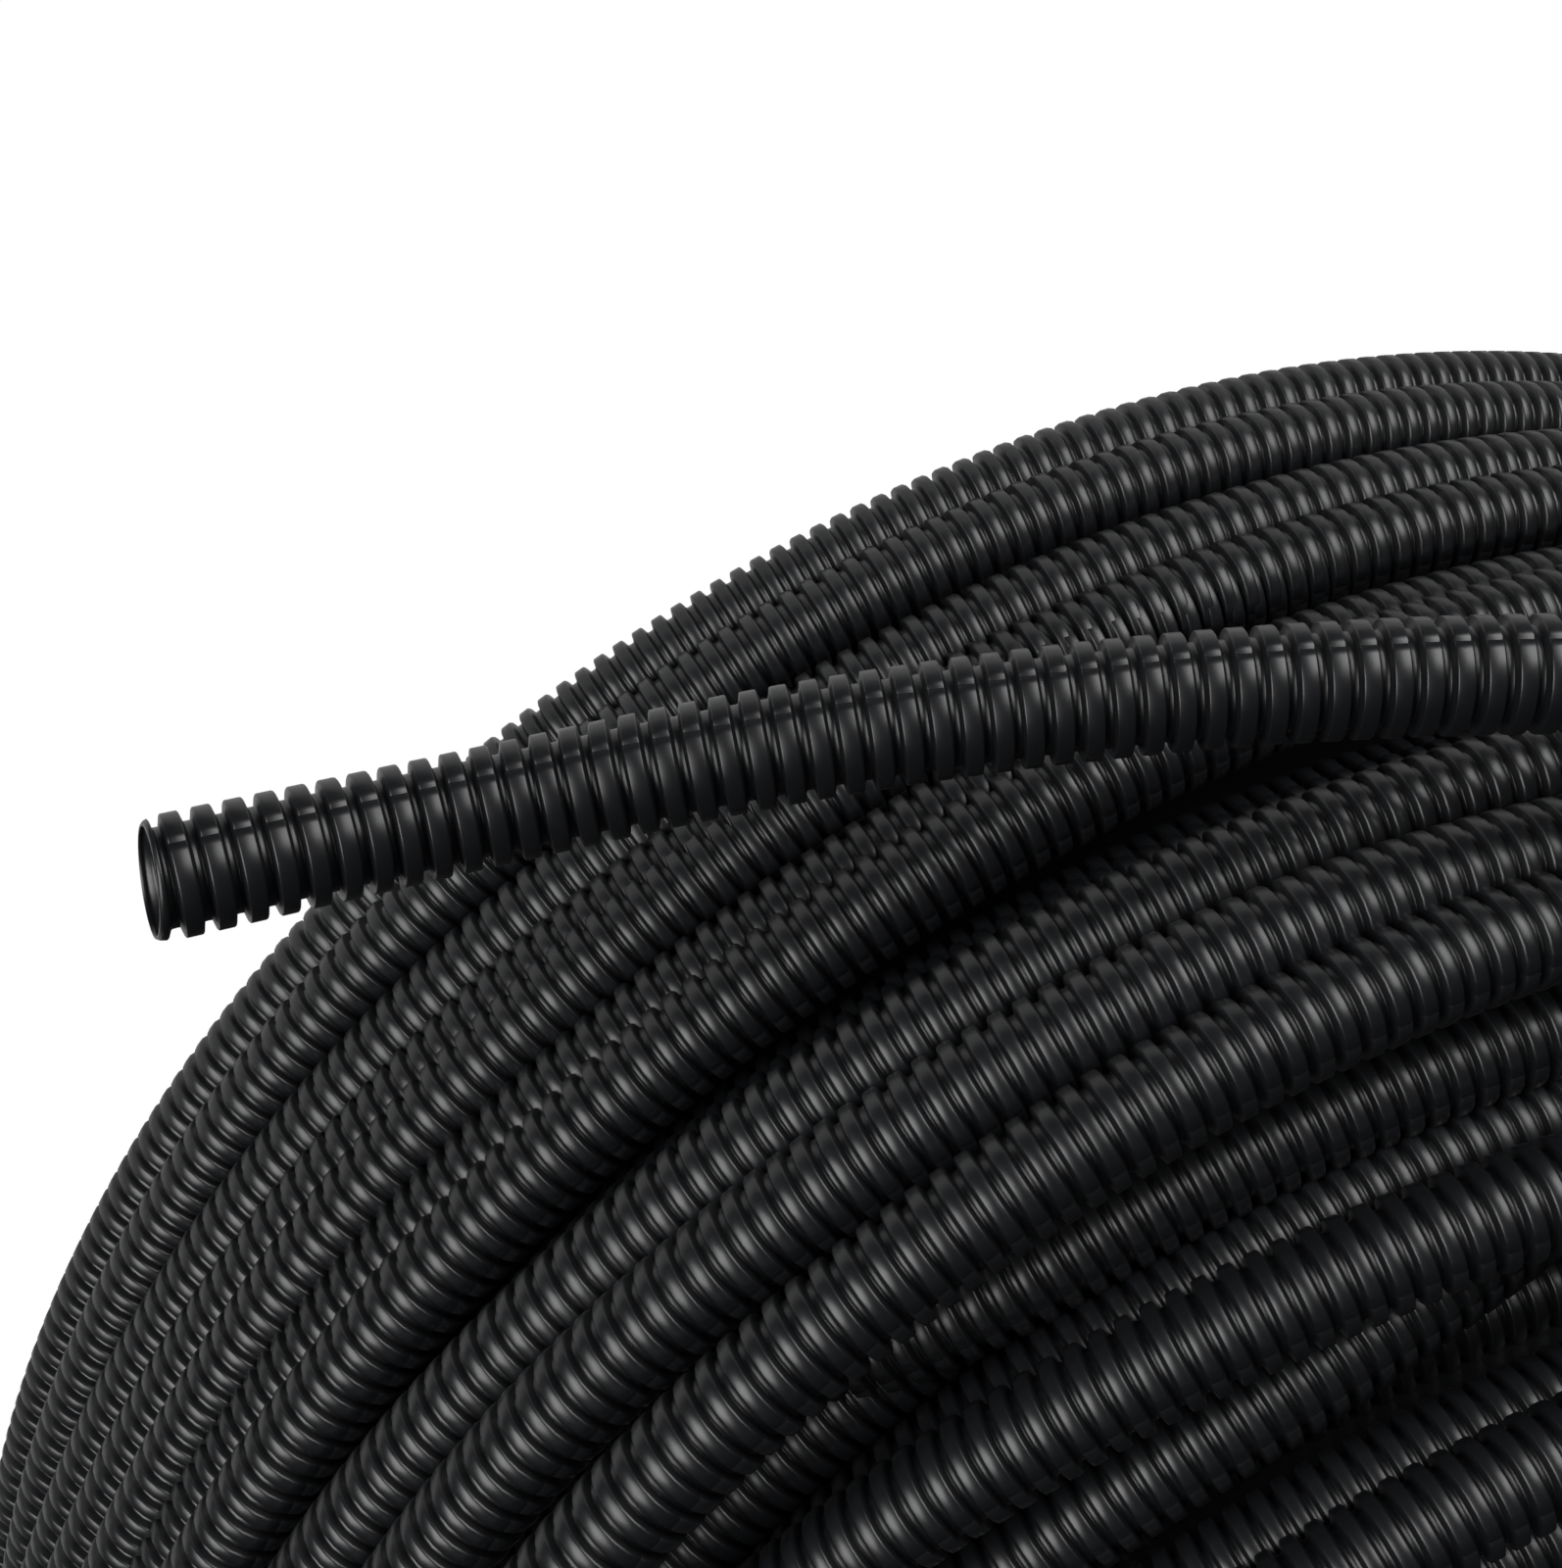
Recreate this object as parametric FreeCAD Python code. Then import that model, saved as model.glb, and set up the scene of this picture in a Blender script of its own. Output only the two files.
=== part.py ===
import FreeCAD, Part

import math
import os

os.makedirs("parts", exist_ok=True)

Vector = FreeCAD.Vector

# Conduit section: the sold outside is 15.8 mm
conduit_od = 15.8
rib_pitch = 3.95
rib_height = 1.5
wall = 0.4
crest_share = 0.5
valley_share = 0.25
cut_rib_height = 0.9

# Coil: 100 m wound in nine layers, 11 turns high at the bore
bore_radius = 165.6
layers = 9
turns_at_bore = 11
nesting = 0.866
turn_sides = 12

# Turns on the coil's surface, from the floor up the outside and in over the top to the bore, counted in
# conduit diameters: (out from the turn at the bore, up from the floor)
surface_turns = [
    (6.9, 1.5),
    (6.8, 2.6),
    (6.3, 3.3),
    (5.45, 3.75),
    (5.75, 4.6),
    (5.2, 5.55),
    (5.7, 6.45),
    (5.65, 7.35),
    (5.2, 8.2),
    (4.4, 7.35),
    (3.65, 7.8),
    (2.9, 8.3),
    (3.3, 9.1),
    (1.95, 9.0),
    (1.4, 10.5),
    (0.0, 10.3),
]

# Free end: it leaves the coil, lies across its outside and curls away from it at the mouth
straight_ribs = 6
mouth_standoff = 64.7
mouth_bearing = -78.5
mouth_height = 0.143
lead_in = Vector(-0.887, 0.449, -0.107)
curl_depth = 30.7
curl_bearing = -86.9
curl_height = 0.123
lift_off = 4.5
lift_bearing = -108.6
lift_height = 0.488
root_depth = 43.0
root_bearing = -163.0
root_height = 0.36
ribbed_share = 0.5

# Worked out from the sizes above
crest_radius = conduit_od / 2
coil_width = turns_at_bore * conduit_od
half_width = coil_width / 2
layer_step = nesting * conduit_od
coil_radius = bore_radius + (layers - 1) * layer_step + conduit_od
root_radius = crest_radius - rib_height
inner_radius = root_radius - wall
groove_radius = crest_radius - wall
crest_length = crest_share * rib_pitch
valley_length = valley_share * rib_pitch
flank_length = (rib_pitch - crest_length - valley_length) / 2
cut_radius = root_radius + cut_rib_height
straight_length = (straight_ribs + 0.5) * rib_pitch
lead_in.normalize()


def around_coil(radius, bearing, height):
    """Point beside the coil, its height a share of half the coil's width."""
    angle = math.radians(bearing)
    return Vector(radius * math.cos(angle), radius * math.sin(angle), height * half_width)


mouth = around_coil(coil_radius + mouth_standoff, mouth_bearing, mouth_height)
curl_end = around_coil(coil_radius + mouth_standoff - curl_depth, curl_bearing, curl_height)
meets_coil = around_coil(coil_radius + lift_off, lift_bearing, lift_height)
sunk_end = around_coil(coil_radius - root_depth, root_bearing, root_height)


def revolved(profile, base, axis):
    """Solid turned from a profile given as (distance along the axis, radius)."""
    side = axis.cross(Vector(0, 0, 1))
    if side.Length < 0.01:
        side = Vector(1, 0, 0)
    side.normalize()
    points = [base + axis * along + side * radius for along, radius in profile]
    face = Part.Face(Part.makePolygon(points + points[:1]))
    return face.revolve(base, axis, 360)


# The wound coil: every turn on its surface is a length of a many-sided circle, down to the groove beside it
def turn_at(out, up):
    return bore_radius + crest_radius + out * conduit_od, up * conduit_od - half_width


def groove(first, second):
    """Low point between two turns, on the right-hand side of the walk from one to the other."""
    across, along = second[0] - first[0], second[1] - first[1]
    apart = math.hypot(across, along)
    reach = math.sqrt(max(crest_radius**2 - apart**2 / 4, 0.0)) / apart
    return (first[0] + second[0]) / 2 + along * reach, (first[1] + second[1]) / 2 - across * reach


def heading(centre, point):
    return math.degrees(math.atan2(point[1] - centre[1], point[0] - centre[0]))


def bump(centre, begin, end):
    """Corners of the turn's many-sided circle between two headings, counter-clockwise."""
    step = 360 / turn_sides
    corner = crest_radius / math.cos(math.radians(step / 2))
    while end < begin:
        end += 360
    angles = [step * (count + 0.5) for count in range(-turn_sides, 2 * turn_sides)]
    inside = [math.radians(angle) for angle in angles if begin + step / 4 < angle < end - step / 4]
    return [(centre[0] + corner * math.cos(angle), centre[1] + corner * math.sin(angle)) for angle in inside]


walk = [turn_at(layer * nesting, 0.5) for layer in range(layers)]
walk += [turn_at(out, up) for out, up in surface_turns]
grooves = [groove(first, second) for first, second in zip(walk, walk[1:])]
bore_side = 180
section = bump(walk[0], bore_side, heading(walk[0], grooves[0]))
for place, centre in enumerate(walk[1:-1]):
    section.append(grooves[place])
    section += bump(centre, heading(centre, grooves[place]), heading(centre, grooves[place + 1]))
section.append(grooves[-1])
section += bump(walk[-1], heading(walk[-1], grooves[-1]), bore_side)
coil = revolved([(height, radius) for radius, height in section], Vector(0, 0, 0), Vector(0, 0, 1))


class TangentArc:
    """Arc that leaves a start point along a direction and ends at a goal."""

    def __init__(self, start, direction, goal):
        chord = goal - start
        self.normal = direction.cross(chord)
        self.normal.normalize()
        inward = self.normal.cross(direction)
        self.radius = chord.Length**2 / (2 * chord.dot(inward))
        self.centre = start + inward * self.radius
        self.arm = start - self.centre
        self.angle = 2 * math.atan2(chord.dot(inward), chord.dot(direction))
        self.length = self.radius * self.angle

    def turned(self, arm, distance):
        turn = FreeCAD.Rotation(self.normal, math.degrees(distance / self.radius))
        return turn.multVec(arm)

    def at(self, distance):
        arm = self.turned(self.arm, distance)
        tangent = self.normal.cross(arm)
        tangent.normalize()
        return self.centre + arm, tangent


bend_start = mouth + lead_in * straight_length
curl_arc = TangentArc(bend_start, lead_in, curl_end)
lying_arc = TangentArc(curl_end, curl_arc.at(curl_arc.length)[1], meets_coil)
sinking_arc = TangentArc(meets_coil, lying_arc.at(lying_arc.length)[1], sunk_end)


def on_path(distance):
    for arc in (curl_arc, lying_arc):
        if distance <= arc.length:
            return arc.at(distance)
        distance -= arc.length
    return sinking_arc.at(distance)


# The cut end is half a rib; whole ribs follow, as (distance, radius) corners of one pitch that starts mid-valley
cut_corners = [
    (0.0, cut_radius),
    (crest_length / 2, cut_radius),
    (crest_length / 2 + flank_length, root_radius),
]
rib_corners = [
    (valley_length / 2, root_radius),
    (valley_length / 2 + flank_length, crest_radius),
    (valley_length / 2 + flank_length + crest_length, crest_radius),
    (rib_pitch - valley_length / 2, root_radius),
]
groove_start = valley_length / 2 + flank_length + wall / 2
groove_corners = [
    (groove_start - flank_length, inner_radius),
    (groove_start, groove_radius),
    (rib_pitch - groove_start, groove_radius),
    (rib_pitch - groove_start + flank_length, inner_radius),
]
cut_groove_end = rib_pitch / 2 - groove_start + flank_length
cut_groove_corners = [
    (0.0, cut_radius - wall),
    (cut_groove_end - flank_length, cut_radius - wall),
    (cut_groove_end, inner_radius),
]

# Straight stretch behind the mouth, ribbed outside and inside
skin = [(0.0, 0.0)] + cut_corners
core = [(0.0, 0.0)] + cut_groove_corners
for rib in range(straight_ribs):
    skin += [((rib + 0.5) * rib_pitch + along, radius) for along, radius in rib_corners]
    core += [((rib + 0.5) * rib_pitch + along, radius) for along, radius in groove_corners]
skin += [(straight_length, root_radius), (straight_length, 0.0)]
core += [(straight_length, inner_radius), (straight_length, 0.0)]
straight_skin = revolved(skin, mouth, lead_in)
straight_core = revolved(core, mouth, lead_in)


def ring_at(distance, radius):
    """Circle square to the path, its first point always on the same side so the loft runs straight."""
    centre, tangent = on_path(distance)
    side = tangent.cross(Vector(0, 0, 1))
    ring = Part.Wire(Part.makeCircle(radius))
    ring.Placement = FreeCAD.Placement(centre, FreeCAD.Rotation(side, Vector(), tangent, "ZXY"))
    return ring


# Curved stretch: ribs lofted ring to ring, then a plain root that sinks into the coil
open_length = curl_arc.length + lying_arc.length
path_length = open_length + sinking_arc.length
curved_ribs = int((open_length + ribbed_share * sinking_arc.length) / rib_pitch)
rings = [ring_at(0.0, root_radius)]
for rib in range(curved_ribs):
    rings += [ring_at(rib * rib_pitch + along, radius) for along, radius in rib_corners]
plain_start = curved_ribs * rib_pitch + valley_length / 2
rings.append(ring_at(plain_start, root_radius))
rings.append(ring_at(plain_start + flank_length, crest_radius))
plain_start += flank_length
plain_steps = math.ceil((path_length - plain_start) / crest_radius)
for step in range(plain_steps):
    rings.append(ring_at(plain_start + (path_length - plain_start) * (step + 1) / plain_steps, crest_radius))
curved_skin = Part.makeLoft(rings, True, True)


def bent_rod(arc, radius):
    centre, tangent = arc.at(0.0)
    disc = Part.Face(Part.Wire(Part.makeCircle(radius, centre, tangent)))
    return disc.revolve(arc.centre, arc.normal, math.degrees(arc.angle))


# The bore runs on plain behind the straight stretch, up to where the conduit meets the coil
curved_core = bent_rod(curl_arc, inner_radius).fuse(bent_rod(lying_arc, inner_radius))

free_end = straight_skin.fuse(curved_skin)
conduit = coil.fuse(free_end).cut(straight_core.fuse(curved_core)).removeSplitter()
conduit = conduit.Solids[0] if len(conduit.Solids) == 1 else conduit
print("solids", len(conduit.Solids), "valid", conduit.isValid(), "faces", len(conduit.Faces))
print("volume", round(conduit.Volume / 1e9, 5), "ribs", curved_ribs)
for arc in (curl_arc, lying_arc, sinking_arc):
    print("arc", round(arc.length, 1), "long, radius", round(arc.radius, 1))
box = conduit.BoundBox
print("bore end", round(section[-1][1], 3), "to", round(section[0][1], 3), "mouth bore", round(cut_groove_end, 3))
print("box", [round(v, 1) for v in (box.XMin, box.XMax, box.YMin, box.YMax, box.ZMin, box.ZMax)])
conduit.exportStep("parts/conduit.step")
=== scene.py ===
import math

import bpy
from mathutils import Matrix, Vector


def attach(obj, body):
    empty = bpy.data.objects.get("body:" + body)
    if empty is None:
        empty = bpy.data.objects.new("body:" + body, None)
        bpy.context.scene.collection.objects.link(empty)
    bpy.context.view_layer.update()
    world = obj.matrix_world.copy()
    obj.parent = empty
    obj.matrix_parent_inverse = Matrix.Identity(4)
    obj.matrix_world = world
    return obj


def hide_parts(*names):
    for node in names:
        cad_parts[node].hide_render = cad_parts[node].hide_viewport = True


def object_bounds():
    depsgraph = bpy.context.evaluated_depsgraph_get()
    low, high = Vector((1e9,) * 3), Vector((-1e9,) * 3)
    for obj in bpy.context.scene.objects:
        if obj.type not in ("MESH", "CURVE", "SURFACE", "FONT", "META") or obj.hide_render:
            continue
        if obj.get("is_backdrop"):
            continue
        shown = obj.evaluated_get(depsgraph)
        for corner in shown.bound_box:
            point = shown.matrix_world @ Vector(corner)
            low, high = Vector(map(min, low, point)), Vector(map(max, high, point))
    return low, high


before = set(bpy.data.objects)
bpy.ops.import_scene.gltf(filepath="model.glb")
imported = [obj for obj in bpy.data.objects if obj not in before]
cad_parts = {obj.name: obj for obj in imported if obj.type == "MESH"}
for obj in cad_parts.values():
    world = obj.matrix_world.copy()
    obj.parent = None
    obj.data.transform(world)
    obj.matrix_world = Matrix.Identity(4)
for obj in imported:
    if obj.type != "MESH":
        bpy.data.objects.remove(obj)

low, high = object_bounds()
print("frame loaded, box", [round(v, 3) for v in (*low, *high)])

# The coil lies flat on the floor, its axis upright through the origin. Metres, from the frame.
coil = {"radius": high.x, "halfWidth": high.z, "floor": low.z}

# The sold conduit, the radius of the coil's innermost turn and the step from layer to layer, in millimetres
conduit = {"radius": 7.9, "pitch": 3.95, "boreTurn": 173.5, "layerStep": 13.68}

# The photograph in pixels; what is less than the margin outside it still counts as seen
photo = {"width": 1594, "height": 1600, "focal": 2100, "margin": 60}

camera = {
    "distance": 0.4635,  # metres in front of the coil's axis
    "height": 0.3281,  # metres above the floor
    "pitchDown": 56.27,  # degrees, as are turn and roll
    "turn": 0.27,
    "roll": 147.42,
    "toMiddle": 0.31,  # metres to the middle of what it shows
    "aside": 0.4,  # radians round the coil to about the same place
    "nearest": 0.05,  # metres, nothing is seen closer
}


# Linear colour of a hex code
def srgb(code):
    parts = [int(code[i:i + 2], 16) / 255 for i in (1, 3, 5)]
    return [p / 12.92 if p <= 0.04045 else ((p + 0.055) / 1.055) ** 2.4 for p in parts] + [1.0]


# Adds a node with its settings. Each input, by name or number, gets a value or a socket to be linked from.
def addNode(tree, kind, inputs=None, **settings):
    node = tree.nodes.new(kind)
    for name, value in settings.items():
        setattr(node, name, value)
    for name, value in (inputs or {}).items():
        if isinstance(value, bpy.types.NodeSocket):
            tree.links.new(value, node.inputs[name])
        else:
            node.inputs[name].default_value = value
    return node


# Black polyamide, extruded and vacuum-formed into ribs: satin, with patches a few mm wide that are duller
plasticLook = {"colour": "#101113", "ior": 1.5, "shiny": 0.29, "dull": 0.43, "patch": 4.545}


def makePlastic():
    material = bpy.data.materials.new("extruded_black_polyamide")
    material.use_nodes = True
    tree = material.node_tree
    shader = tree.nodes["Principled BSDF"]
    place = addNode(tree, "ShaderNodeTexCoord")
    patches = 1000 / plasticLook["patch"]  # to the metre
    grain = {"Vector": place.outputs["Object"], "Scale": patches, "Detail": 4.0, "Roughness": 0.6}
    mottle = addNode(tree, "ShaderNodeTexNoise", grain)
    sheen = {"Value": mottle.outputs["Fac"], "To Min": plasticLook["shiny"], "To Max": plasticLook["dull"]}
    rough = addNode(tree, "ShaderNodeMapRange", sheen)
    tree.links.new(rough.outputs["Result"], shader.inputs["Roughness"])
    shader.inputs["Base Color"].default_value = srgb(plasticLook["colour"])
    shader.inputs["IOR"].default_value = plasticLook["ior"]
    return material


plastic = makePlastic()
print("plastic made")


def makeCamera():
    data = bpy.data.cameras.new("photoCamera")
    data.sensor_fit = "HORIZONTAL"
    data.sensor_width = 36.0
    data.lens = photo["focal"] / photo["width"] * data.sensor_width
    data.clip_start = 0.01
    data.clip_end = 20
    holder = bpy.data.objects.new("photoCamera", data)
    bpy.context.scene.collection.objects.link(holder)
    aim = Matrix.Rotation(math.radians(camera["turn"]), 4, "Z")
    tilt = Matrix.Rotation(math.pi / 2 - math.radians(camera["pitchDown"]), 4, "X")
    roll = Matrix.Rotation(math.radians(camera["roll"]), 4, "Z")
    spot = Matrix.Translation((0, -camera["distance"], coil["floor"] + camera["height"]))
    holder.matrix_world = spot @ aim @ tilt @ roll
    bpy.context.scene.camera = holder
    return holder


# The camera comes first, because the fine ribs go where it looks
photoCamera = makeCamera()
bpy.context.view_layer.update()
intoCamera = photoCamera.matrix_world.inverted()
print("camera set, lens", round(photoCamera.data.lens, 1))


def inPhoto(point):
    seen = intoCamera @ Vector(point)
    if seen.z > -camera["nearest"]:
        return False
    across = photo["width"] / 2 - photo["focal"] * seen.x / seen.z
    down = photo["height"] / 2 + photo["focal"] * seen.y / seen.z
    margin = photo["margin"]
    return -margin < across < photo["width"] + margin and -margin < down < photo["height"] + margin


# Every piece rides on the one body and stands in for the one solid
def addPiece(name, mesh):
    mesh.materials.clear()
    mesh.materials.append(plastic)
    piece = bpy.data.objects.new(name, mesh)
    bpy.context.scene.collection.objects.link(piece)
    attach(piece, "root")
    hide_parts("conduit")
    print(name, "made, triangles", sum(len(face.vertices) - 2 for face in mesh.polygons))


def makeMesh(name, verts, faces):
    mesh = bpy.data.meshes.new(name)
    mesh.from_pydata(verts, [], faces)
    mesh.update()
    return mesh


# Quads between rings of corners. Joined runs the last ring on to the first, looped the last corner.
def ringFaces(rings, corners, joined, looped):
    faces = []
    for i in range(rings if joined else rings - 1):
        a = i * corners
        b = (i + 1) % rings * corners
        for j in range(corners if looped else corners - 1):
            k = (j + 1) % corners
            faces.append((a + j, b + j, b + k, a + k))
    return faces


# A rib's section is (along, radius) corners in millimetres, from the middle of its crest. Half of it is
# written, and mirrored gives the whole.
def mirrored(corners):
    return corners + [(-along, radius) for along, radius in reversed(corners)]


woundRib = mirrored([
    (-2.10, 6.38), (-1.60, 6.41), (-1.44, 6.55),  # valley
    (-1.17, 7.47), (-1.02, 7.77), (-0.80, 7.90),  # flank and crest
])
plainRib = mirrored([(-2.10, 6.38), (-1.05, 7.85)])

# Seam where the mould's halves met: a notch over the crest. Degrees from its place, and the radius in
# millimetres from which it is cut; clear is how far to each side no other corners stand.
seamNotch = {"edges": (-4.0, 0.9), "floor": (-2.2, -0.6), "from": 6.9, "clear": 4.6}


# One rib, its length along Z: a shell up to half degrees to each side of +X, 180 being the whole rib
def makeRib(name, rib):
    half = math.radians(rib["half"])
    joined = rib["half"] == 180
    steps = rib["steps"]
    rings = [(-half + 2 * half * i / steps, 0.0) for i in range(steps if joined else steps + 1)]
    for degrees in rib.get("seams", ()):
        seam = math.radians(degrees)
        clear = math.radians(seamNotch["clear"])
        rings = [(angle, cut) for angle, cut in rings if abs(angle - seam) > clear]
        rings += [(seam + math.radians(edge), 0.0) for edge in seamNotch["edges"]]
        rings += [(seam + math.radians(edge), rib["seamDepth"]) for edge in seamNotch["floor"]]
    rings.sort()
    verts = []
    for angle, cut in rings:
        for along, radius in rib["section"]:
            r = (radius - cut * max(radius - seamNotch["from"], 0.0)) / 1000
            verts.append((r * math.cos(angle), r * math.sin(angle), along / 1000))
    faces = ringFaces(len(rings), len(rib["section"]), joined, False)
    return bpy.data.objects.new(name, makeMesh(name, verts, faces))


# Geometry Nodes: one rib on every point, turned by the point's own directions
def makeThreader():
    group = bpy.data.node_groups.new("threadRibs", "GeometryNodeTree")
    sockets = group.interface
    sockets.new_socket("Points", in_out="INPUT", socket_type="NodeSocketGeometry")
    rib = sockets.new_socket("Rib", in_out="INPUT", socket_type="NodeSocketObject")
    coat = sockets.new_socket("Material", in_out="INPUT", socket_type="NodeSocketMaterial")
    sockets.new_socket("Ribs", in_out="OUTPUT", socket_type="NodeSocketGeometry")
    start = addNode(group, "NodeGroupInput")
    source = addNode(group, "GeometryNodeObjectInfo", {"Object": start.outputs["Rib"]})
    stored = "GeometryNodeInputNamedAttribute"
    along = addNode(group, stored, {"Name": "along"}, data_type="FLOAT_VECTOR")
    outward = addNode(group, stored, {"Name": "outward"}, data_type="FLOAT_VECTOR")
    sides = {"Primary Axis": along.outputs["Attribute"], "Secondary Axis": outward.outputs["Attribute"]}
    turn = addNode(group, "FunctionNodeAxesToRotation", sides, primary_axis="Z", secondary_axis="X")
    threaded = {
        "Points": start.outputs["Points"],
        "Instance": source.outputs["Geometry"],
        "Rotation": turn.outputs["Rotation"],
    }
    place = addNode(group, "GeometryNodeInstanceOnPoints", threaded)
    real = addNode(group, "GeometryNodeRealizeInstances", {"Geometry": place.outputs["Instances"]})
    coated = {"Geometry": real.outputs["Geometry"], "Material": start.outputs["Material"]}
    paint = addNode(group, "GeometryNodeSetMaterial", coated)
    addNode(group, "NodeGroupOutput", {"Ribs": paint.outputs["Geometry"]})
    return group, rib.identifier, coat.identifier


threader, ribSocket, coatSocket = makeThreader()


# Piece with one rib at every station: a station is a place, the way that the rib runs and the side it faces
def threadRibs(name, stations, rib):
    mesh = makeMesh(name + "Points", [place for place, along, outward in stations], [])
    for label, part in (("along", 1), ("outward", 2)):
        directions = mesh.attributes.new(label, "FLOAT_VECTOR", "POINT")
        directions.data.foreach_set("vector", [c for station in stations for c in station[part]])
    points = bpy.data.objects.new(name + "Points", mesh)
    bpy.context.scene.collection.objects.link(points)
    modifier = points.modifiers.new("ribs", "NODES")
    modifier.node_group = threader
    modifier[ribSocket] = rib
    modifier[coatSocket] = plastic
    graph = bpy.context.evaluated_depsgraph_get()
    made = bpy.data.meshes.new_from_object(points.evaluated_get(graph))
    made.polygons.foreach_set("use_smooth", [True] * len(made.polygons))
    made.polygons.foreach_set("material_index", [0] * len(made.polygons))
    bpy.data.objects.remove(points)
    addPiece(name, made)


# Shares the stations out over pieces of no more than most ribs
def threadPieces(name, stations, rib, most):
    pieces = math.ceil(len(stations) / most)
    for piece in range(pieces):
        threadRibs(name + str(piece), stations[piece::pieces], rib)


# How a turn runs. Radius and height from the floor are in millimetres. On the side that the camera sees,
# bow and lean change the radius per radian squared and per radian, and drift the height per radian. They
# hold up to fade's first angle and are gone over its second. Sink lowers the side of its own sign per radian
# squared, where the turn goes under its neighbour, by no more than mostSunk.
usualFade = (0.95, 1.3)
mostSunk = 14.0
ribShift = 0.37  # pitches from one turn to the next, so that their ribs don't line up

frontTurns = {
    "rib": {"section": woundRib, "half": 108, "steps": 13, "seams": [-40], "seamDepth": 0.18},
    "most": 450,  # ribs in one piece
    "turns": [
        {"radius": 287.0, "bow": -4.0, "lean": 0.8, "height": 12.5, "drift": 3.0},
        {"radius": 285.5, "bow": -5.5, "lean": 0.8, "height": 25.5, "drift": 4.5},
        {"radius": 279.0, "bow": 4.5, "height": 41.0, "drift": 0.5},
        {"radius": 275.5, "bow": 8.0, "height": 51.5, "drift": 0.5},
        {"radius": 274.5, "bow": 6.0, "height": 55.5, "drift": 13.5},
        {"radius": 268.5, "bow": 10.0, "height": 70.0, "drift": 2.5},
        {"radius": 268.5, "bow": 10.0, "height": 79.0, "drift": 8.0},
        {"radius": 264.0, "bow": -1.0, "height": 104.5, "drift": -9.0, "fade": (0.5, 0.5)},
        {"radius": 264.0, "bow": -22.0, "height": 119.5, "drift": -9.5, "fade": (0.45, 0.5)},
        {"radius": 260.0, "bow": -22.5, "height": 135.0, "drift": 6.0, "fade": (0.4, 0.5)},
        {"radius": 231.5, "bow": 17.0, "height": 123.5, "drift": -9.5, "sink": 250.0, "fade": (0.4, 0.5)},
        {"radius": 219.5, "bow": 4.5, "height": 131.5, "drift": 2.0},
        {"radius": 225.5, "bow": 6.5, "height": 144.0, "drift": -21.0, "fade": (0.4, 0.5)},
        {"radius": 204.0, "height": 142.5, "drift": -3.0, "sink": -110.0},
        {"radius": 190.0, "bow": 1.0, "height": 154.0, "drift": -4.5},
        {"radius": 195.5, "height": 166.5, "drift": -1.0},
    ],
}

# Turns that lie deeper and fill the gaps between those; near ones are made only where the photograph looks
deepTurns = {
    "rib": {"section": woundRib, "half": 96, "steps": 9},
    "turns": [
        {"radius": 273.0, "height": 31.5, "drift": 2.0, "near": True},
        {"radius": 259.5, "bow": 2.0, "height": 59.5, "drift": 4.0, "near": True},
        {"radius": 251.0, "bow": 3.0, "height": 84.0, "drift": -2.0, "near": True},
        {"radius": 256.0, "bow": 2.0, "height": 93.0, "drift": -6.0},
        {"radius": 243.5, "bow": 2.0, "height": 116.5, "drift": -3.0},
        {"radius": 227.0, "height": 117.5, "near": True},
        {"radius": 208.5, "height": 126.0},
        {"radius": 181.0, "height": 128.0, "near": True},
        {"radius": conduit["boreTurn"], "height": 162.5},
    ],
}

# Front turns, and deep ones that aren't near, go on round the far side with plainer ribs
farTurns = {"rib": {"section": plainRib, "half": 105, "steps": 6}, "most": 2800}

# Turns round the bore and under the coil, seen only from above or below
boreTurns = {"rib": {"section": plainRib, "half": 75, "steps": 4}, "rows": 10}
lowerTurns = {"rib": {"section": plainRib, "half": 75, "steps": 4}, "layers": 8}


# Share of bow, lean, drift and sink that is left at an angle
def shareLeft(angle, fullTo, over):
    share = min(max((abs(angle) - fullTo) / over, 0.0), 1.0)
    return 1 - share * share * (3 - 2 * share)


# A turn's middle at an angle in radians; angle 0 faces the camera's side
def turnPoint(turn, angle):
    kept = shareLeft(angle, *turn.get("fade", usualFade))
    outward = (turn.get("bow", 0.0) * angle + turn.get("lean", 0.0)) * angle * kept
    radius = (turn["radius"] + outward) / 1000
    height = (turn["height"] + turn.get("drift", 0.0) * angle * kept) / 1000
    sink = turn.get("sink", 0.0)
    if sink * angle > 0:
        height -= min(abs(sink) * angle * angle, mostSunk) * kept / 1000
    return Vector((radius * math.sin(angle), -radius * math.cos(angle), coil["floor"] + height))


# Sides that the ribs of a turn can face: the camera's height, the bore or the floor
def towardsCamera(turn, angle):
    rise = camera["height"] - turn["height"] / 1000
    reach = camera["distance"] * math.cos(camera["aside"]) - turn["radius"] / 1000
    tilt = math.atan2(rise, reach)
    radial = Vector((math.sin(angle), -math.cos(angle), 0))
    return radial * math.cos(tilt) + Vector((0, 0, 1)) * math.sin(tilt)


def towardsBore(turn, angle):
    return Vector((-math.sin(angle), math.cos(angle), 0))


def towardsFloor(turn, angle):
    return Vector((0, 0, -1))


# Stations one pitch apart, all round a turn
def turnStations(turn, number, facing):
    count = round(2 * math.pi * turn["radius"] / conduit["pitch"])
    aside = 0.01  # radians to each side, for the direction
    stations = []
    for i in range(count):
        angle = -math.pi + 2 * math.pi * (i + number * ribShift % 1.0) / count
        along = (turnPoint(turn, angle + aside) - turnPoint(turn, angle - aside)).normalized()
        stations.append((turnPoint(turn, angle), along, facing(turn, angle)))
    return stations


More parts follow.
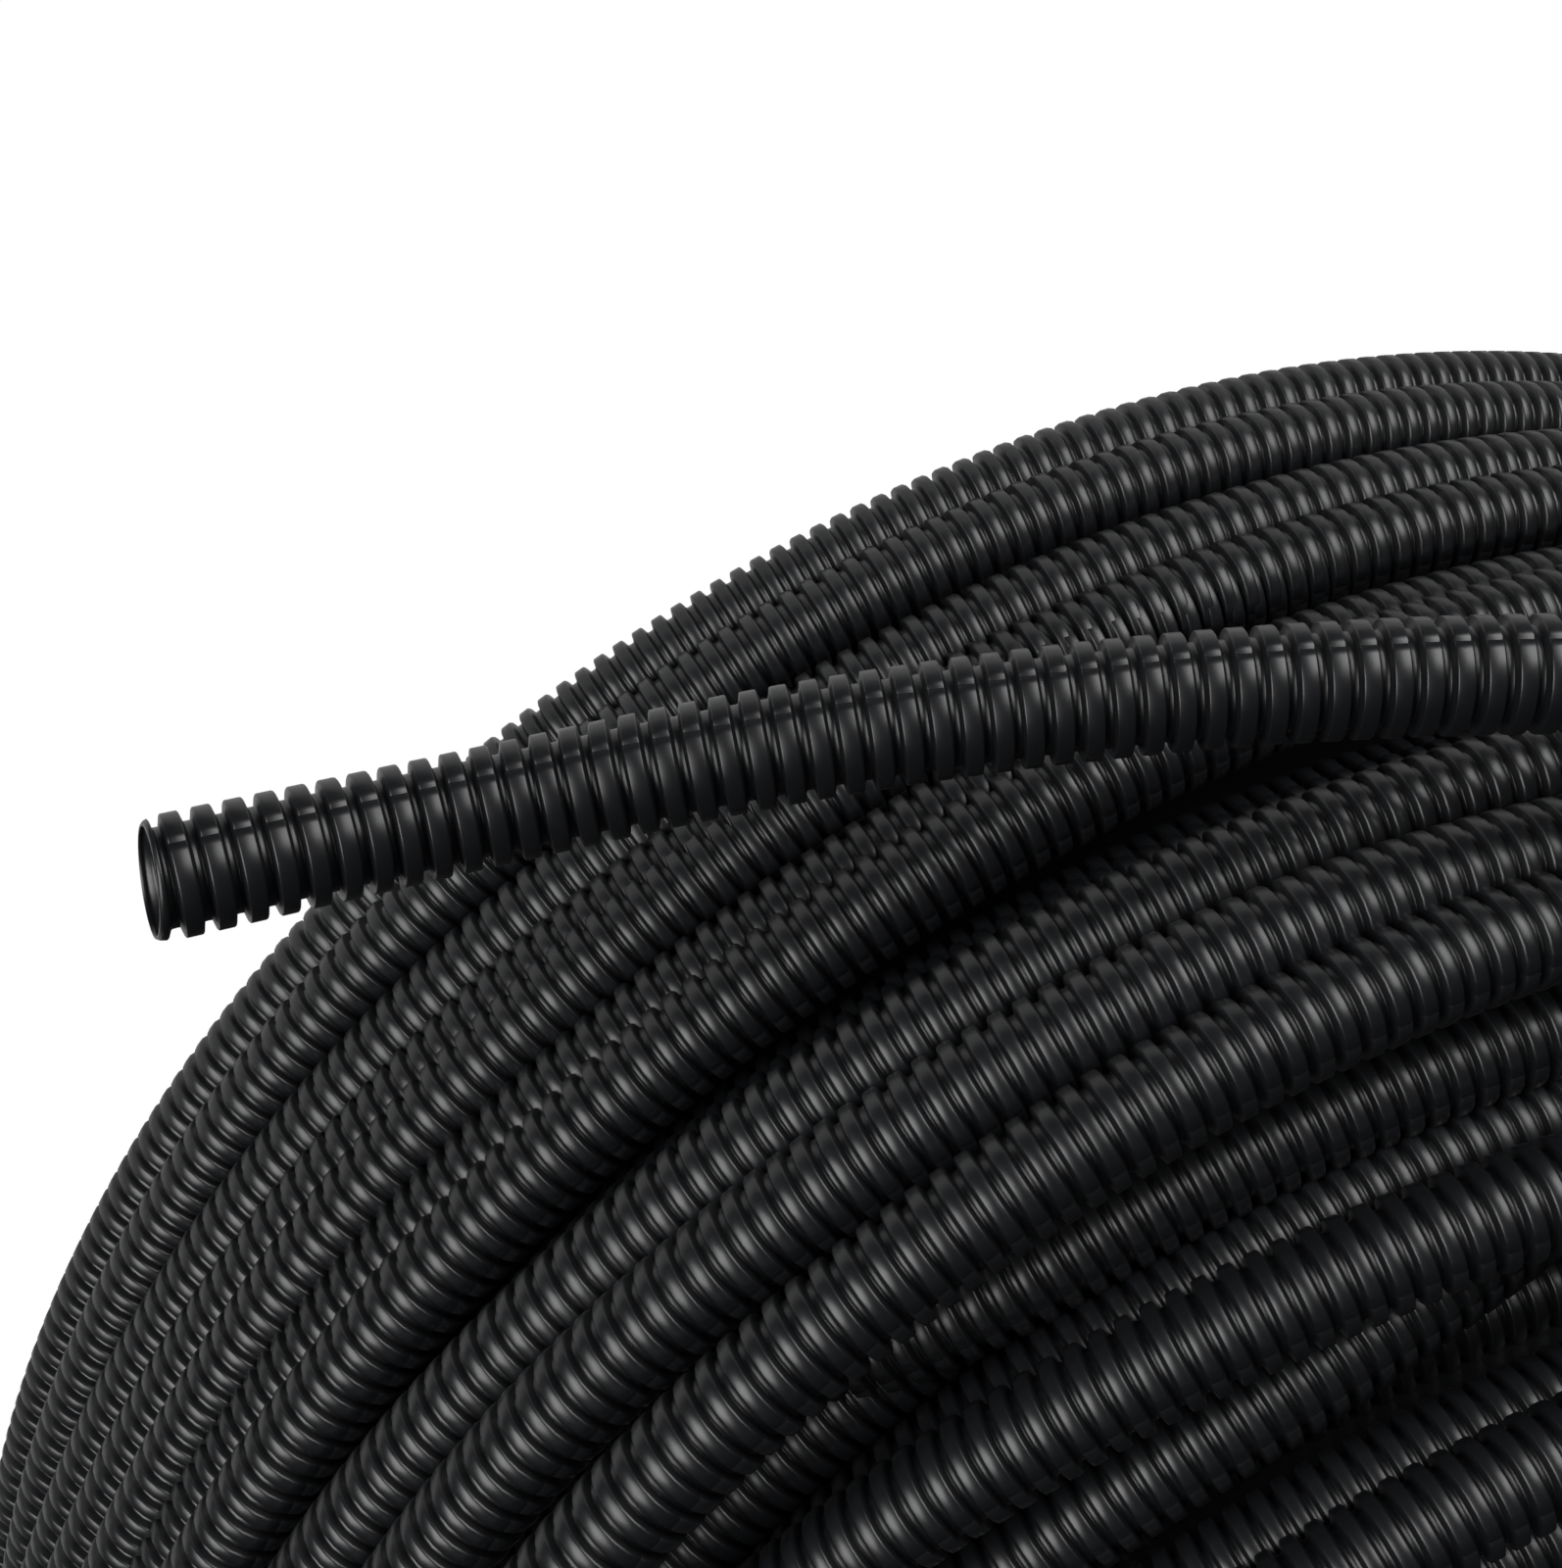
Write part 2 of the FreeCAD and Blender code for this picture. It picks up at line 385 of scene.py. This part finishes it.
frontStations = []
deepStations = []
farStations = []
for number, turn in enumerate(frontTurns["turns"] + deepTurns["turns"]):
    closeStations = frontStations if number < len(frontTurns["turns"]) else deepStations
    for station in turnStations(turn, number, towardsCamera):
        if inPhoto(station[0]):
            closeStations.append(station)
        elif not turn.get("near"):
            farStations.append(station)
threadPieces("frontTurns", frontStations, makeRib("fineRib", frontTurns["rib"]), frontTurns["most"])
threadRibs("deepTurns", deepStations, makeRib("deepRib", deepTurns["rib"]))
threadPieces("farTurns", farStations, makeRib("plainRib", farTurns["rib"]), farTurns["most"])

boreStations = []
for row in range(boreTurns["rows"]):
    turn = {"radius": conduit["boreTurn"], "height": conduit["radius"] * (1 + 2 * row)}
    boreStations += turnStations(turn, row, towardsBore)
threadRibs("boreTurns", boreStations, makeRib("boreRib", boreTurns["rib"]))

lowerStations = []
for layer in range(lowerTurns["layers"]):
    turn = {"radius": conduit["boreTurn"] + conduit["layerStep"] * layer, "height": conduit["radius"]}
    lowerStations += turnStations(turn, layer, towardsFloor)
threadRibs("lowerTurns", lowerStations, makeRib("lowerRib", lowerTurns["rib"]))

# Free end: straight behind the mouth, then three arcs, the same path as the solid's. A place is millimetres
# outside the coil, a bearing in degrees and a share of half the coil's height. Proud is how many millimetres
# further out than the solid's the mouth is.
freeEnd = {
    "mouth": (64.7, -78.5, 0.143),
    "leadIn": (-0.887, 0.449, -0.107),
    "straightRibs": 6.5,
    "proud": 0.8,
    "arcEnds": [(34.0, -86.9, 0.123), (4.5, -108.6, 0.488), (-43.0, -163.0, 0.36)],
    "rib": {
        "section": mirrored([
            (-2.04, 6.38), (-1.56, 6.40), (-1.47, 6.46),  # valley
            (-1.16, 7.68), (-1.05, 7.85), (-0.92, 7.90),  # flank and crest
        ]),
        "half": 180,
        "steps": 36,
        "seams": [-29, 151],
        "seamDepth": 0.22,
    },
}


def besideCoil(outside, bearing, height):
    radius = coil["radius"] + outside / 1000
    angle = math.radians(bearing)
    return Vector((radius * math.cos(angle), radius * math.sin(angle), height * coil["halfWidth"]))


# Arc that leaves a start along a direction and ends at a goal
def makeArc(start, direction, goal):
    chord = goal - start
    normal = direction.cross(chord).normalized()
    inward = normal.cross(direction)
    radius = chord.length_squared / (2 * chord.dot(inward))
    centre = start + inward * radius
    length = radius * 2 * math.atan2(chord.dot(inward), chord.dot(direction))
    return {"centre": centre, "arm": start - centre, "normal": normal, "radius": radius, "length": length}


def arcPoint(arc, distance):
    arm = Matrix.Rotation(distance / arc["radius"], 3, arc["normal"]) @ arc["arm"]
    return arc["centre"] + arm, arc["normal"].cross(arm).normalized()


leadIn = Vector(freeEnd["leadIn"]).normalized()
mouth = besideCoil(*freeEnd["mouth"]) - leadIn * freeEnd["proud"] / 1000
straight = (freeEnd["straightRibs"] * conduit["pitch"] + freeEnd["proud"]) / 1000
freeArcs = []
bendFrom = mouth + leadIn * straight
heading = leadIn
for place in freeEnd["arcEnds"]:
    freeArcs.append(makeArc(bendFrom, heading, besideCoil(*place)))
    bendFrom, heading = arcPoint(freeArcs[-1], freeArcs[-1]["length"])
freeLength = straight + sum(arc["length"] for arc in freeArcs)


def freePoint(distance):
    if distance < straight:
        return mouth + leadIn * distance, leadIn
    distance -= straight
    for arc in freeArcs[:-1]:
        if distance < arc["length"]:
            return arcPoint(arc, distance)
        distance -= arc["length"]
    return arcPoint(freeArcs[-1], distance)


# The side of the conduit that faces the camera, square to its run
def cameraSide(along):
    toCamera = (photoCamera.matrix_world.translation - mouth).normalized()
    return (toCamera - along * toCamera.dot(along)).normalized()


freeStations = []
pitch = conduit["pitch"] / 1000
for number in range(1, int(freeLength / pitch)):
    spot, along = freePoint(number * pitch)
    freeStations.append((spot, along, cameraSide(along)))
threadRibs("freeEnd", freeStations, makeRib("freeRib", freeEnd["rib"]))

# Cut end: half a rib, sawn off askew just below its crest, and the ribbed inside as far as it can be seen.
# Corners are (along, radius) in millimetres from the mouth, and the saw was off square by degrees each way.
cutEnd = {
    "outside": [
        (1.975, 6.40), (1.55, 6.42), (1.38, 6.6), (1.08, 7.45), (0.9, 7.62),
        (0.3, 7.45), (0.0, 7.20),
    ],
    "inside": [(0.0, 6.85), (0.45, 7.1), (0.75, 7.05), (1.15, 6.15), (1.35, 6.0)],
    "innerRib": [
        (0.6, 6.0), (0.8, 6.15), (1.25, 7.25), (1.5, 7.45),
        (2.45, 7.45), (2.7, 7.25), (3.15, 6.15), (3.35, 6.0),
    ],
    "innerRibs": 10,
    "offTowardsCamera": 5,
    "offSideways": 5,
    "steps": 64,
}


def makeCutEnd():
    sawnRib = conduit["pitch"] / 2
    profile = cutEnd["outside"] + cutEnd["inside"]
    for rib in range(cutEnd["innerRibs"]):
        start = sawnRib + conduit["pitch"] * rib
        profile = profile + [(start + along, radius) for along, radius in cutEnd["innerRib"]]
    front = cameraSide(leadIn)
    side = leadIn.cross(front)
    offFront = math.tan(math.radians(cutEnd["offTowardsCamera"]))
    offSide = math.tan(math.radians(cutEnd["offSideways"]))
    verts = []
    for i in range(cutEnd["steps"]):
        angle = 2 * math.pi * i / cutEnd["steps"]
        askew = offFront * math.cos(angle) - offSide * math.sin(angle)
        outward = front * math.cos(angle) + side * math.sin(angle)
        for along, radius in profile:
            along += askew * radius * max(1 - along / sawnRib, 0.0)  # most at the rim, none behind the rib
            verts.append(mouth + leadIn * along / 1000 + outward * radius / 1000)
    faces = ringFaces(cutEnd["steps"], len(profile), True, False)
    faces = [(a, d, c, b) for a, b, c, d in faces]  # turned over, because this profile runs inwards
    mesh = makeMesh("cutEnd", verts, faces)
    mesh.polygons.foreach_set("use_smooth", [True] * len(faces))
    addPiece("cutEnd", mesh)


makeCutEnd()

# Plain core under the turns, so that no light comes through between them: (radius, height) in millimetres
core = {
    "outline": [
        (175, 8), (272, 8), (270, 18), (256, 40), (246, 56), (236, 82), (236, 100),
        (216, 106), (200, 114), (186, 118), (179, 122), (179, 143), (175, 143),
    ],
    "steps": 96,
}


def makeCore():
    verts = []
    for i in range(core["steps"]):
        angle = 2 * math.pi * i / core["steps"]
        for across, up in core["outline"]:
            radius = across / 1000
            verts.append((radius * math.cos(angle), radius * math.sin(angle), coil["floor"] + up / 1000))
    addPiece("core", makeMesh("core", verts, ringFaces(core["steps"], len(core["outline"]), True, True)))


makeCore()

# Stage: a disc of floor that looks white, in a dim room that looks white, as in a cut-out picture
floor = {"radius": 0.43, "steps": 96, "colour": "#c8c8c8", "faint": 0.12}
room = {"colour": "#898b90", "dim": 0.07}


def makeFloor():
    rim = []
    for i in range(floor["steps"]):
        angle = 2 * math.pi * i / floor["steps"]
        rim.append((floor["radius"] * math.cos(angle), floor["radius"] * math.sin(angle), coil["floor"]))
    mesh = makeMesh("floor", rim, [tuple(range(floor["steps"]))])
    material = bpy.data.materials.new("white_floor")
    material.use_nodes = True
    tree = material.node_tree
    tree.nodes.clear()
    path = addNode(tree, "ShaderNodeLightPath")
    diffuse = addNode(tree, "ShaderNodeBsdfDiffuse", {"Color": srgb(floor["colour"])})
    faint = addNode(tree, "ShaderNodeEmission", {"Strength": floor["faint"]})
    lit = addNode(tree, "ShaderNodeAddShader", {0: diffuse.outputs[0], 1: faint.outputs[0]})
    glow = addNode(tree, "ShaderNodeEmission", {"Strength": 1.0})
    looks = {0: path.outputs["Is Camera Ray"], 1: lit.outputs[0], 2: glow.outputs[0]}
    mix = addNode(tree, "ShaderNodeMixShader", looks)
    addNode(tree, "ShaderNodeOutputMaterial", {"Surface": mix.outputs[0]})
    mesh.materials.append(material)
    holder = bpy.data.objects.new("floor", mesh)
    bpy.context.scene.collection.objects.link(holder)
    holder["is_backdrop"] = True


def makeRoom():
    world = bpy.data.worlds.new("studio")
    bpy.context.scene.world = world
    world.use_nodes = True
    tree = world.node_tree
    tree.nodes.clear()
    path = addNode(tree, "ShaderNodeLightPath")
    dim = addNode(tree, "ShaderNodeBackground", {"Color": srgb(room["colour"]), "Strength": room["dim"]})
    white = addNode(tree, "ShaderNodeBackground", {"Color": srgb("#ffffff"), "Strength": 1.0})
    looks = {0: path.outputs["Is Camera Ray"], 1: dim.outputs[0], 2: white.outputs[0]}
    mix = addNode(tree, "ShaderNodeMixShader", looks)
    addNode(tree, "ShaderNodeOutputWorld", {"Surface": mix.outputs[0]})


makeFloor()
makeRoom()
print("floor and room made")

# Lamps in metres and watts. The right and left boxes stand by the picture's own directions, as seen from
# the middle of what it shows. The back box is weak and low behind the coil, for views of its other sides.
backBox = {"size": (1.6, 0.16), "power": 9, "behind": 1.0, "height": 0.09}
rightBox = {"size": (0.75, 0.8), "power": 13, "right": -0.62, "up": -0.14, "back": 0.77, "distance": 1.1}
leftBox = {"size": (0.7, 0.7), "power": 10, "right": 0.52, "up": 0.56, "back": 0.65, "distance": 1.1}


def addLamp(name, box):
    data = bpy.data.lights.new(name, "AREA")
    data.shape = "RECTANGLE"
    data.size, data.size_y = box["size"]
    data.energy = box["power"]
    lamp = bpy.data.objects.new(name, data)
    bpy.context.scene.collection.objects.link(lamp)
    return lamp


def addSoftBox(name, box):
    axes = photoCamera.matrix_world.to_3x3()
    middle = photoCamera.matrix_world.translation - axes.col[2] * camera["toMiddle"]
    direction = axes.col[0] * box["right"] + axes.col[1] * box["up"] + axes.col[2] * box["back"]
    direction.normalize()
    longSide = (axes.col[1] - direction * axes.col[1].dot(direction)).normalized()
    lamp = addLamp(name, box)
    lamp.location = middle + direction * box["distance"]
    lamp.rotation_euler = Matrix((longSide.cross(direction), longSide, direction)).transposed().to_euler()


backLamp = addLamp("backBox", backBox)
backLamp.location = (0, backBox["behind"], coil["floor"] + backBox["height"])
backLamp.rotation_euler = (-math.pi / 2, 0, 0)
addSoftBox("rightBox", rightBox)
addSoftBox("leftBox", leftBox)
print("lamps set")

scene = bpy.context.scene
scene.view_settings.view_transform = "Standard"
low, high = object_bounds()
